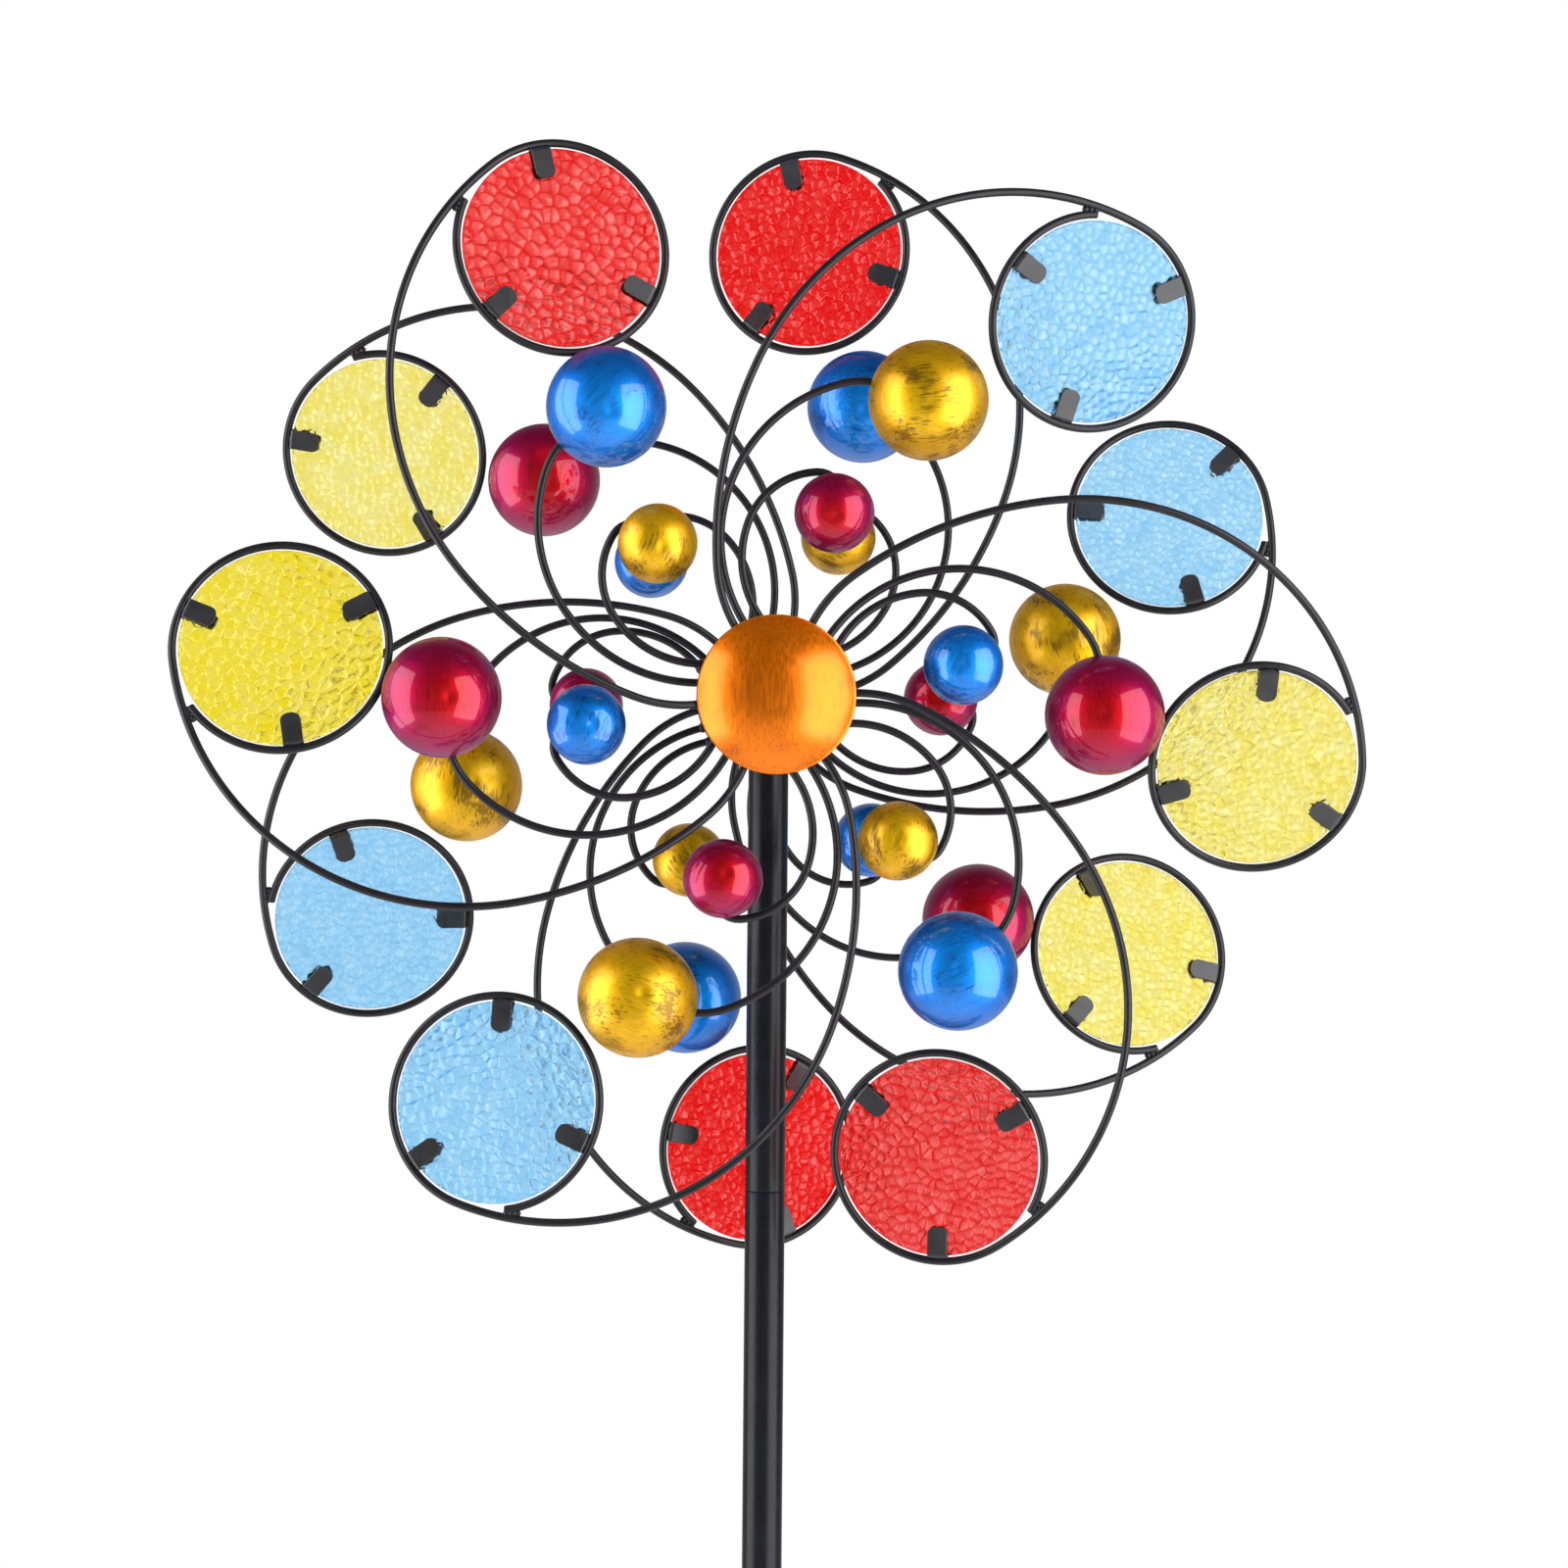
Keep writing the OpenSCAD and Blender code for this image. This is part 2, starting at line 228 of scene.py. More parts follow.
class Shape:
    """Points, faces and their marks, which gather into one mesh."""

    def __init__(self, tone_domain="FACE"):
        self.tone_domain = tone_domain
        self.points = []
        self.faces = []
        self.grain = []
        self.tones = []
        self.count = 0

    def add(self, points, faces, place, grain=None, tones=None):
        """Adds points and faces through a place. grain is a local coordinate for each point, and
        tones a number for each face or point."""
        points = np.asarray(points, float)
        self.points.append(points @ place[:3, :3].T + place[:3, 3])
        self.grain.append(points if grain is None else grain)
        self.tones += list(tones) if tones is not None else [0.5] * len(faces)
        mirrored = np.linalg.det(place[:3, :3]) < 0
        for face in faces:
            face = [self.count + i for i in face]
            self.faces.append(face[::-1] if mirrored else face)
        self.count += len(points)


def piece(replaced, shape, body, material, sharp=40):
    """Makes the piece that replaces a CAD node. Edges bent more than sharp degrees stay crisp."""
    name = f"{replaced}_look"
    mesh = bpy.data.meshes.new(name)
    points = np.concatenate(shape.points) * MM
    mesh.from_pydata(points.tolist(), [], shape.faces)
    grain = mesh.attributes.new("grain", "FLOAT_VECTOR", "POINT")
    grain.data.foreach_set("vector", np.concatenate(shape.grain).ravel())
    tone = mesh.attributes.new("tone", "FLOAT", shape.tone_domain)
    tone.data.foreach_set("value", shape.tones)
    mesh.update()
    mesh.shade_smooth()
    mesh.set_sharp_from_angle(angle=math.radians(sharp))
    mesh.materials.append(material)
    obj = bpy.data.objects.new(name, mesh)
    bpy.context.scene.collection.objects.link(obj)
    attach(obj, body)
    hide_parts(replaced)


def grid_faces(rows, columns, closed=False):
    """Quads between rows of points that each close on themselves. closed joins the last row to the
    first."""
    faces = []
    for i in range(rows if closed else rows - 1):
        a = i * columns
        b = (i + 1) % rows * columns
        for j in range(columns):
            n = (j + 1) % columns
            faces.append([a + j, a + n, b + n, b + j])
    return faces


def tube_faces(rows, columns):
    """The faces of rows of points with a flat face over the first row and the last."""
    faces = grid_faces(rows, columns)
    faces.append(list(range(columns))[::-1])
    faces.append(list(range((rows - 1) * columns, rows * columns)))
    return faces


SWEEP_START = [0.31, 0.17, 0.93]        # any direction that no path starts along


def swept(shape, path, place, radius=WIRE_R, sides=WIRE_SIDES, cut=0.35, loop=False):
    """A round bar along a path, of one radius or one for each point. Its ends are bevelled by cut."""
    path = np.asarray(path, float)
    radii = np.full(len(path), float(radius)) if np.isscalar(radius) else np.asarray(radius, float)
    if loop:
        tangents = np.roll(path, -1, 0) - np.roll(path, 1, 0)
    else:
        tangents = np.gradient(path, axis=0)
    tangents /= np.linalg.norm(tangents, axis=1)[:, None]
    if not loop and cut:
        path = np.vstack([path[:1], path[:1] + tangents[0] * cut, path[1:-1],
                          path[-1:] - tangents[-1] * cut, path[-1:]])
        tangents = np.vstack([tangents[:1], tangents, tangents[-1:]])
        radii = np.concatenate([[radii[0] - cut], radii, [radii[-1] - cut]])
    side = np.cross(tangents[0], SWEEP_START)
    side /= np.linalg.norm(side)
    angles = np.linspace(0, 2 * math.pi, sides, endpoint=False)
    points = []
    for centre, tangent, r in zip(path, tangents, radii):
        side = side - tangent * side.dot(tangent)
        side /= np.linalg.norm(side)
        other = np.cross(tangent, side)
        points.append(centre + r * (np.outer(np.cos(angles), side) + np.outer(np.sin(angles), other)))
    faces = grid_faces(len(path), sides, closed=True) if loop else tube_faces(len(path), sides)
    shape.add(np.concatenate(points), faces, place)


def circle_row(radius, z, sides):
    """Points round the Z axis. radius and z are one number, or one for each point."""
    angles = np.linspace(0, 2 * math.pi, sides, endpoint=False)
    return np.column_stack([radius * np.cos(angles), radius * np.sin(angles), np.full(sides, z)])


def hexagon(apothem, sides):
    """The radii of a hexagon in the directions of circle_row's points."""
    angles = 360 * np.arange(sides) / sides
    return apothem / np.cos(np.radians((angles + 30) % 60 - 30))


def lathe(shape, profile, place, sides=LATHE_SIDES, grain_turn=0.0, grain_shift=0.0, tones=None):
    """Turns a profile of (radius, height) points about Z. A profile that starts and ends on the axis
    closes there, and any other is a closed outline that runs anticlockwise."""
    axis_ends = profile[0][0] == 0 and profile[-1][0] == 0
    rings = profile[1:-1] if axis_ends else profile
    points = [circle_row(r, z, sides) for r, z in rings]
    faces = grid_faces(len(rings), sides, closed=not axis_ends)
    points = np.concatenate(points)
    if axis_ends:
        faces = [face[::-1] for face in faces]
        low = len(points)
        last = (len(rings) - 1) * sides
        points = np.vstack([points, [0, 0, profile[0][1]], [0, 0, profile[-1][1]]])
        for j in range(sides):
            n = (j + 1) % sides
            faces.append([low, n, j])
            faces.append([low + 1, last + j, last + n])
    turn = turned("Z", math.degrees(grain_turn))[:3, :3]
    shape.add(points, faces, place, grain=points @ turn.T + grain_shift, tones=tones)


def eased(outline, radius=EASE, steps=3, closed=True):
    """Rounds the corners of an outline of (radius, height) points."""
    most = 0.45     # of the shorter side
    outline = [np.array(p, float) for p in outline]
    result = []
    for i, corner in enumerate(outline):
        if not closed and i in (0, len(outline) - 1):
            result.append(tuple(corner))
            continue
        before = outline[i - 1] - corner
        after = outline[(i + 1) % len(outline)] - corner
        reach = min(radius, most * np.linalg.norm(before), most * np.linalg.norm(after))
        a = corner + before / np.linalg.norm(before) * reach
        b = corner + after / np.linalg.norm(after) * reach
        for t in np.linspace(0, 1, steps + 1):
            result.append(tuple((1 - t) ** 2 * a + 2 * t * (1 - t) * corner + t ** 2 * b))
    return result


def ring_outline(r_out, r_in, z0, z1):
    return eased([(r_in, z0), (r_out, z0), (r_out, z1), (r_in, z1)])


def weld(shape, place, centre, size, rng):
    """A small lumpy bead of weld metal, of the given half-sizes."""
    columns, rows, lumpiness = 14, 9, 0.10
    centre, size = np.array(centre), np.array(size)
    points = []
    for i in range(1, rows):
        polar = math.pi * i / rows
        for j in range(columns):
            a = 2 * math.pi * j / columns
            lump = 1 + lumpiness * (rng.random() - 0.5)
            unit = np.array([math.sin(polar) * math.cos(a), math.sin(polar) * math.sin(a), math.cos(polar)])
            points.append(centre + lump * unit * size)
    faces = [face[::-1] for face in grid_faces(rows - 1, columns)]
    top = len(points)
    last = (rows - 2) * columns
    points += [centre + np.array([0, 0, size[2]]), centre - np.array([0, 0, size[2]])]
    for j in range(columns):
        n = (j + 1) % columns
        faces.append([top, j, n])
        faces.append([top + 1, last + n, last + j])
    shape.add(points, faces, place)


# ---- Wires ----

def arc_centres(first, radii, turns):
    """The centres of a chain of tangent arcs."""
    centres = [np.array(first, float)]
    for i in range(1, len(radii)):
        centres.append(centres[-1] + (radii[i - 1] - radii[i]) * direction(turns[i]))
    return centres


def arcs(first, radii, turns):
    """Points along a chain of tangent arcs, in the plane z = 0."""
    points = []
    for centre, radius, a0, a1 in zip(arc_centres(first, radii, turns), radii, turns, turns[1:]):
        count = max(4, round(radius * math.radians(a1 - a0) / WIRE_STEP))
        for a in np.linspace(a0, a1, count, endpoint=False):
            points.append(centre + radius * direction(a))
    points.append(centre + radius * direction(turns[-1]))
    return np.column_stack([points, np.zeros(len(points))])


def hub_weld(shape, place, path, rng):
    """The weld where a wire meets the drum, at the wire's inner end."""
    end = path[-1]
    reach = np.linalg.norm(path[:, :2], axis=1)
    at = path[np.argmin(abs(reach - DRUM_R))] if reach.min() < DRUM_R else end
    weld(shape, place, at, HUB_WELD, rng)


def outer_wire(side, k, material):
    """One outer scroll, which ends in the ring round a glass disc."""
    name = f"{SIDES[side]}_outer_wire_{k + 1}"
    rng = random.Random(name)
    shape = Shape()
    ring_centre = np.array([GLASS_REACH[side], 0.0])
    turns = [OUTER_TURNS[0] - RING_OVERRUN, *OUTER_TURNS[1:]]
    path = arcs(ring_centre, OUTER_RADII, turns)
    place = on_ring(side, k)
    swept(shape, path, place)
    next_arc = arc_centres(ring_centre, OUTER_RADII, turns)[1]
    for step in (1.5, 4.5, 7.5):        # degrees from the ring's end to each bead of its weld
        foot = ring_centre + OUTER_RADII[0] * direction(turns[0] + step)
        out = (foot - next_arc) / np.linalg.norm(foot - next_arc)
        middle = (foot + next_arc + OUTER_RADII[1] * out) / 2
        weld(shape, place, [*middle, 0], RING_WELD, rng)
    hub_weld(shape, place, path, rng)
    piece(name, shape, BODIES[side], material)


def dome_r(d):
    return d / 2 / math.sin(CUP_SWEEP)


def dome_h(d):
    return dome_r(d) * (1 - math.cos(CUP_SWEEP))


def seat(cup):
    """Where the outside of a cup's pole lies, as x and z in its arm's coordinates."""
    lean = math.radians(CUP_LEAN)
    return (cup["reach"] - dome_h(cup["d"]) * math.sin(lean),
            RIM_LIFT + (dome_h(cup["d"]) - CUP_T) * math.cos(lean))


def cup_wire_path(cup):
    """The wire turns forward at its outer end and stands up as a peg inside its cup."""
    seat_x, seat_z = seat(cup)
    radii, turns = cup["radii"], cup["turns"]
    heading = direction(turns[0] - 90)
    arc_end = np.array([seat_x, 0]) - PEG_BEND * heading
    rise = [(seat_x, 0, z) for z in np.linspace(seat_z + CUP_T / 6, PEG_BEND, 5)]
    quarter = []
    for phi in np.linspace(0, math.pi / 2, 8)[1:-1]:
        flat = arc_end + heading * PEG_BEND * math.cos(phi)
        quarter.append((flat[0], flat[1], PEG_BEND - PEG_BEND * math.sin(phi)))
    run = arcs(arc_end - radii[0] * direction(turns[0]), radii, turns)
    return np.vstack([rise, quarter, run])


def on_cup_arm(side, k, cup):
    return on_arm(side, k, cup["skews"][side][k], cup["lead"][side])


def cup_wires(side, cup, material):
    """The six scrolls that carry one size of cup."""
    name = f"{SIDES[side]}_{cup['wires']}_wires"
    rng = random.Random(name)
    shape = Shape()
    path = cup_wire_path(cup)
    seat_x, seat_z = seat(cup)
    weld_drop = 1.3
    for k in range(ARMS):
        place = on_cup_arm(side, k, cup)
        swept(shape, path, place)
        hub_weld(shape, place, path, rng)
        weld(shape, place, [seat_x, 0, seat_z - weld_drop], CUP_WELD, rng)
    piece(name, shape, BODIES[side], material)


# ---- Glass ----

def scatter(rng, radius, spacing):
    """Seeds over a disc, none nearer to another than spacing."""
    seeds = []
    cells = {}
    tries_per_cell = 12
    for _ in range(int(tries_per_cell * (radius / spacing) ** 2)):
        p = (rng.uniform(-radius, radius), rng.uniform(-radius, radius))
        if math.hypot(*p) > radius:
            continue
        key = (int(p[0] // spacing), int(p[1] // spacing))
        near = [q for i in (-1, 0, 1) for j in (-1, 0, 1) for q in cells.get((key[0] + i, key[1] + j), [])]
        if all(math.dist(p, q) > spacing for q in near):
            seeds.append(p)
            cells.setdefault(key, []).append(p)
    return seeds


def circumcentre(a, b, c):
    """The centre of the circle through three points."""
    bx, by = b[0] - a[0], b[1] - a[1]
    cx, cy = c[0] - a[0], c[1] - a[1]
    d = 2 * (bx * cy - by * cx)
    b2, c2 = bx * bx + by * by, cx * cx + cy * cy
    return (a[0] + (cy * b2 - by * c2) / d, a[1] + (bx * c2 - cx * b2) / d)


def voronoi(seeds, merge):
    """The cells round the seeds, each as its corners in order. Corners nearer than merge are one."""
    triangles = delaunay_2d_cdt([Vector(s) for s in seeds], [], [], 0, 1e-6, True)[2]
    centres = np.array([circumcentre(*(seeds[i] for i in t)) for t in triangles])
    same = np.arange(len(centres))
    for i in range(len(centres)):
        if same[i] == i:
            close = np.hypot(*(centres - centres[i]).T) < merge
            close[:i] = False
            same[close & (same == np.arange(len(centres)))] = i
    around = {}
    for t, triangle in enumerate(triangles):
        for s in triangle:
            around.setdefault(s, []).append(t)
    cells = []
    for s, ts in around.items():
        ts.sort(key=lambda t: math.atan2(centres[t][1] - seeds[s][1], centres[t][0] - seeds[s][0]))
        corners = [int(same[t]) for t in ts]
        corners = [c for i, c in enumerate(corners) if c != corners[i - 1]]
        if len(set(corners)) >= 3:
            cells.append([tuple(centres[c]) for c in corners])
    return cells


def clip_to_disc(polygon, radius, sides):
    """Cuts a convex polygon to a regular polygon of the given radius."""
    for i in range(sides):
        middle = direction(360 * (i + 0.5) / sides)
        limit = radius * math.cos(math.pi / sides)
        depth = [p[0] * middle[0] + p[1] * middle[1] - limit for p in polygon]
        if max(depth, default=-1) <= 0:
            continue
        kept = []
        for j, p in enumerate(polygon):
            q, dp, dq = polygon[j - 1], depth[j], depth[j - 1]
            if (dp > 0) != (dq > 0):
                t = dq / (dq - dp)
                kept.append((q[0] + (p[0] - q[0]) * t, q[1] + (p[1] - q[1]) * t))
            if dp <= 0:
                kept.append(p)
        polygon = kept
    return polygon


def glass(side, k, material):
    """A disc of pressed glass. Both faces are fields of tilted facets with grooves between them. The tone of
    a facet is its disc's paleness with a random part, and its grooves take a deeper tone, painted shade in
    the pits."""
    name = f"{SIDES[side]}_glass_{k + 1}"
    rng = random.Random(name)
    spacing, stretch = GLASS_BUMPS[side][k], GLASS_STRETCH[k % 3]
    rim_sides = 96
    groove_w = 1.0
    random_share, edge_tone = 0.35, 0.2
    level_spread, least_tilt = 0.1, 0.35
    skin = [{"groove": 0.65, "mean": 1.5, "tilt": 0.42}, {"groove": 1.55, "mean": 1.8, "tilt": 0.15}]
    angle = rng.uniform(0, 180)
    turn = turned("Z", angle)[:2, :2]
    squeeze = np.diag([stretch, 1 / stretch])
    margin = 1.2
    reach = GLASS_R * stretch * margin
    seeds = [tuple(turn @ squeeze @ np.array(s)) for s in scatter(rng, reach, spacing)]
    seeds = [s for s in seeds if math.hypot(*s) < GLASS_R + 3 * spacing]
    points, faces, tones = [], [], []
    corner_of = {}

    def corner(p, face_no):
        key = (round(p[0], 3), round(p[1], 3), face_no)
        if key not in corner_of:
            sign = 1 - 2 * face_no
            corner_of[key] = len(points)
            points.append((p[0], p[1], sign * skin[face_no]["groove"]))
        return corner_of[key]

    edges = {}
    for polygon in voronoi(seeds, merge=0.5):
        polygon = clip_to_disc(polygon, GLASS_R, rim_sides)
        polygon = [p for i, p in enumerate(polygon) if math.dist(p, polygon[i - 1]) > 1e-4]
        if len(polygon) < 3:
            continue
        middle = np.mean(polygon, axis=0)
        shrink = 1 - groove_w / max(groove_w * 2, min(math.dist(p, middle) for p in polygon))
        for face_no, spec in enumerate(skin):
            sign = 1 - 2 * face_no
            slope = np.array([rng.gauss(0, 1), rng.gauss(0, 1)])
            level = spec["mean"] + rng.uniform(-level_spread, level_spread) * spec["tilt"]
            # The disc's paleness is partly its own tint and partly painted reflection haze.
            tone = (1 - random_share) * GLASS_PALENESS_AND_HAZE[side][k] + random_share * rng.random()
            inner = [middle + (np.array(p) - middle) * shrink for p in polygon]
            lift = np.array([(q - middle) @ slope for q in inner])
            scale = spec["tilt"] * rng.uniform(least_tilt, 1.0) / max(abs(lift).max(), 1e-6)
            start = len(points)
            top = [min(level + rise * scale, GLASS_HALF) for rise in lift]
            points.extend((q[0], q[1], sign * z) for q, z in zip(inner, top))
            outer = [corner(p, face_no) for p in polygon]
            n = len(outer)
            face = [start + i for i in range(n)]
            new = [face] + [[outer[i], outer[(i + 1) % n], face[(i + 1) % n], face[i]] for i in range(n)]
            faces += new if sign > 0 else [f[::-1] for f in new]
            # Painted shade: the grooves between facets are deeper in colour than the facet tops.
            tones += [tone] + [GROOVE_PAINTED_SHADE[k % 3] * tone] * n
            if face_no == 0:
                for i in range(n):
                    a, b = polygon[i], polygon[(i + 1) % n]
                    if min(math.hypot(*a), math.hypot(*b)) > GLASS_R * math.cos(math.pi / rim_sides) - 1e-3:
                        edges[corner(a, 0)] = (a, b)
    for a, b in edges.values():
        faces.append([corner(b, 0), corner(a, 0), corner(a, 1), corner(b, 1)])
        tones.append(edge_tone)
    shape = Shape()
    place = on_ring(side, k) @ shift(GLASS_REACH[side], 0, 0)
    grain = np.array(points) + np.array([rng.uniform(-GRAIN_SPREAD, GRAIN_SPREAD) for _ in range(3)])
    shape.add(points, faces, place, grain=grain, tones=tones)
    piece(name, shape, BODIES[side], material, sharp=50)


def clip(shape, place):
    """One strip of sheet bent over the glass's edge, with rounded fingers, and its weld to the ring."""
    half_w = CLIP_W / 2
    bend, gap = 1.2, 0.1
    tip_corner, tip_least = 3.8, 0.15   # rounding of the finger's corners, and what is left at its tip
    inner_x = GLASS_R - CLIP_REACH
    outer_x = GLASS_R + CLIP_T / 2 + gap
    half = GLASS_HALF + CLIP_T / 2
    flat = list(np.linspace(inner_x, outer_x - bend, 22))
    spine = [(x, half) for x in flat]
    for a in np.linspace(90, -90, 13)[1:-1]:
        if a:
            x, z = bend * direction(a)
            spine.append((outer_x - bend + x, math.copysign(half - bend, a) + z))
    spine += [(x, -half) for x in flat[::-1]]
    spine = np.array(spine)
    tangents = np.gradient(spine, axis=0)
    tangents /= np.linalg.norm(tangents, axis=1)[:, None]
    normals = np.column_stack([-tangents[:, 1], tangents[:, 0]])
    length = np.concatenate([[0], np.cumsum(np.linalg.norm(np.diff(spine, axis=0), axis=1))])
    ease = 0.22
    points = []
    for p, normal, s in zip(spine, normals, length):
        from_tip = min(s, length[-1] - s)
        width = half_w
        if from_tip < tip_corner:
            width += math.sqrt(max(tip_corner ** 2 - (tip_corner - from_tip) ** 2, tip_least)) - tip_corner
        t = CLIP_T / 2
        section = [(-width, -t + ease), (-width + ease, -t), (width - ease, -t), (width, -t + ease),
                   (width, t - ease), (width - ease, t), (-width + ease, t), (-width, t - ease)]
        for y, n in section:
            q = p + normal * n
            points.append((q[0], y, q[1]))
    shape.add(points, tube_faces(len(spine), len(section)), place)


def clips(side, material):
    """Three clips to each ring of a wheel."""
    name = f"{SIDES[side]}_clips"
    rng = random.Random(name)
    shape = Shape()
    weld_x = GLASS_R + 0.9
    for k in range(ARMS):
        for a in CLIP_ANGLES:
            place = (on_ring(side, k) @ shift(GLASS_REACH[side], 0, 0)
                     @ turned("Z", a + CLIP_SKEWS[side][k]))
            clip(shape, place)
            weld(shape, place, [weld_x, 0, 0], CLIP_WELD, rng)
    piece(name, shape, BODIES[side], material)


# ---- Cups ----

def cup_profile(d):
    """A deep dome of sheet metal with a rolled rim and a small dimple at its pole. The pole's outside
    is at z = CUP_T, and the profile runs from the outside of the pole round the rim to the inside."""
    r = dome_r(d)
    base = CUP_T - r
    dimple_depth, dimple_w = 0.65, 3.0
    crowding = 1.35                     # gathers the outside's points at the pole, round the dimple
    edge = CUP_SWEEP - 0.012            # where the dome ends and the lip starts, radians
    lip_flatness = 0.45
    outside, inside = [], []
    for phi in np.linspace(0, 1, 44) ** crowding * edge:
        radius = r * math.sin(phi)
        dip = dimple_depth * math.exp(-(radius / dimple_w) ** 2)
        outside.append((radius, base + r * math.cos(phi) - dip))
    for phi in np.linspace(edge, 0, 24):
        inside.append(((r - CUP_T) * math.sin(phi), base + (r - CUP_T) * math.cos(phi)))
    middle = r - CUP_T / 2
    lip_centre = np.array([middle * math.sin(edge), base + middle * math.cos(edge)])
    out = np.array([math.sin(CUP_SWEEP), math.cos(CUP_SWEEP)])
    down = np.array([math.cos(CUP_SWEEP), -math.sin(CUP_SWEEP)])
    lip = [tuple(lip_centre + CUP_T / 2 * (math.cos(a) * out - math.sin(a) * lip_flatness * down))
           for a in np.linspace(0, -math.pi, 8)[1:-1]]
    inside[-1] = (0, inside[-1][1])
    outside[0] = (0, outside[0][1])
    return outside + lip + inside


def cups(side, cup, first, paints):
    """The two cups of one size and colour on a wheel, three arms apart."""
    colour = cup["colours"][first]
    name = f"{SIDES[side]}_{cup['name']}_cups_{colour}"
    rng = random.Random(name)
    shape = Shape(tone_domain="POINT")
    seat_x, seat_z = seat(cup)
    profile = cup_profile(cup["d"])[::-1]
    sides, most_turn = 72, 0.6
    # Each row's share of the way to the rim, which the lacquer turns into painted shade at the cup's edge.
    rim_shading = [2 * radius / cup["d"] for radius, _ in profile]
    tones = [t for t in rim_shading[1:-1] for _ in range(sides)] + [0.0, 0.0]
    for k in range(first, ARMS, 3):
        place = on_cup_arm(side, k, cup) @ shift(seat_x, 0, seat_z) @ turned("Y", -CUP_LEAN)
        lathe(shape, profile, place, sides=sides, grain_turn=rng.uniform(-most_turn, most_turn),
              grain_shift=rng.uniform(-GRAIN_SPREAD, GRAIN_SPREAD), tones=tones)
    piece(name, shape, BODIES[side], paints[colour], sharp=50)


# ---- Hubs ----

def hub(side, material):
    """A pressed drum, open at the front, with a barrel round the bush."""
    name = f"{SIDES[side]}_hub"
    floor = DRUM_BACK + PLATE_T
    outline = [(BUSH_R, BUSH_BACK), (BARREL_R, BUSH_BACK), (BARREL_R, DRUM_BACK), (DRUM_R, DRUM_BACK),
               (DRUM_R, DRUM_FRONT), (DRUM_R - DRUM_WALL, DRUM_FRONT), (DRUM_R - DRUM_WALL, floor),
               (BARREL_R, floor), (BARREL_R, BUSH_FRONT), (BUSH_R, BUSH_FRONT)]
    edge = 0.8
    shape = Shape()
    lathe(shape, eased(outline, edge), on_wheel(side))
    piece(name, shape, BODIES[side], material)


def bush(side, material):
    """A flanged bearing bush."""
    name = f"{SIDES[side]}_bush"
    bore, edge = AXLE_R + AXLE_PLAY, 0.3
    back = BUSH_BACK - FLANGE_T
    outline = [(bore, back), (FLANGE_R, back), (FLANGE_R, BUSH_BACK), (BUSH_R, BUSH_BACK),
               (BUSH_R, BUSH_FRONT), (bore, BUSH_FRONT)]
    shape = Shape()
    lathe(shape, eased(outline, edge), on_wheel(side))
    piece(name, shape, BODIES[side], material)


def hub_cap(material):
    """A spun dome with a rounded lip, and a skirt that presses into the drum."""
    dome = (CAP_R ** 2 + CAP_H ** 2) / (2 * CAP_H)
    centre = DRUM_FRONT + CAP_H - dome
    edge = math.asin(CAP_R / dome)
    skirt_r = DRUM_R - DRUM_WALL
    skirt_in = skirt_r - CAP_T
    inner = dome - CAP_T
    lip_turn = 0.012                    # where the dome ends and the lip starts, radians
    outside = [(dome * math.sin(a), centre + dome * math.cos(a)) for a in np.linspace(0, edge - lip_turn, 40)]
    lip = [(CAP_R - inset, DRUM_FRONT + rise)
           for inset, rise in ((0.05, 0.45), (0.1, 0.12), (0.4, 0), (1.2, 0.1))]
    skirt_top = centre + math.sqrt(inner ** 2 - skirt_r ** 2)
    skirt_end = DRUM_FRONT - SKIRT_H
    inside = [(skirt_r, skirt_top), (skirt_r, skirt_end + 0.4), (skirt_r - 0.4, skirt_end),
              (skirt_in + 0.3, skirt_end), (skirt_in, skirt_end + 0.3)]
    inside += [(inner * math.sin(a), centre + inner * math.cos(a))
               for a in np.linspace(math.asin(skirt_in / inner), 0, 16)]
    inside[-1] = (0, inside[-1][1])
    outside[0] = (0, outside[0][1])
    shape = Shape()
    lathe(shape, (outside + lip + inside)[::-1], on_wheel(FRONT), sides=128)
    piece("hub_cap", shape, "front_wheel", material, sharp=50)


# ---- Axle ----

FRONT_BUSH_END = PLANE[FRONT] + BUSH_FRONT
FRONT_BUSH_START = PLANE[FRONT] + BUSH_BACK - FLANGE_T
REAR_BUSH_END = PLANE[REAR] + BUSH_FRONT
REAR_BUSH_START = PLANE[REAR] + BUSH_BACK - FLANGE_T
AXLE_FRONT = FRONT_BUSH_END + END_PLAY + WASHER_T + NUT_H + AXLE_TAIL
AXLE_REAR = REAR_BUSH_START - END_PLAY - WASHER_T - NUT_H - AXLE_TAIL


def threaded(z0, z1):
    """The outline of the axle's thread, crests and roots, from z0 to z1."""
    pitch, root, crest_start, crest_end = 1.25, AXLE_R - 0.35, 0.35, 0.65
    outline = []
    turns = int((z1 - z0) / pitch)
    for i in range(turns):
        z = z0 + i * (z1 - z0) / turns
        outline += [(root, z), (AXLE_R, z + crest_start * pitch), (AXLE_R, z + crest_end * pitch)]
    return outline + [(root, z1)]


def axle(material):
    thread, chamfer = NUT_H + AXLE_TAIL, 0.2
    outline = [(0, AXLE_REAR)] + threaded(AXLE_REAR + chamfer, AXLE_REAR + thread)
    outline += threaded(AXLE_FRONT - thread, AXLE_FRONT - chamfer) + [(0, AXLE_FRONT)]
    shape = Shape()
    lathe(shape, outline, ON_AXLE, sides=48)
    piece("axle", shape, "head", material, sharp=30)


def rings(name, material, slot, spans, r_out, r_in):
    """Plain rings on the axle, one for each span of heights along it."""
    shape = Shape()
    for z0, z1 in spans:
        lathe(shape, ring_outline(r_out, r_in, z0, z1), ON_AXLE, sides=64)
    piece(name, shape, "head", material)


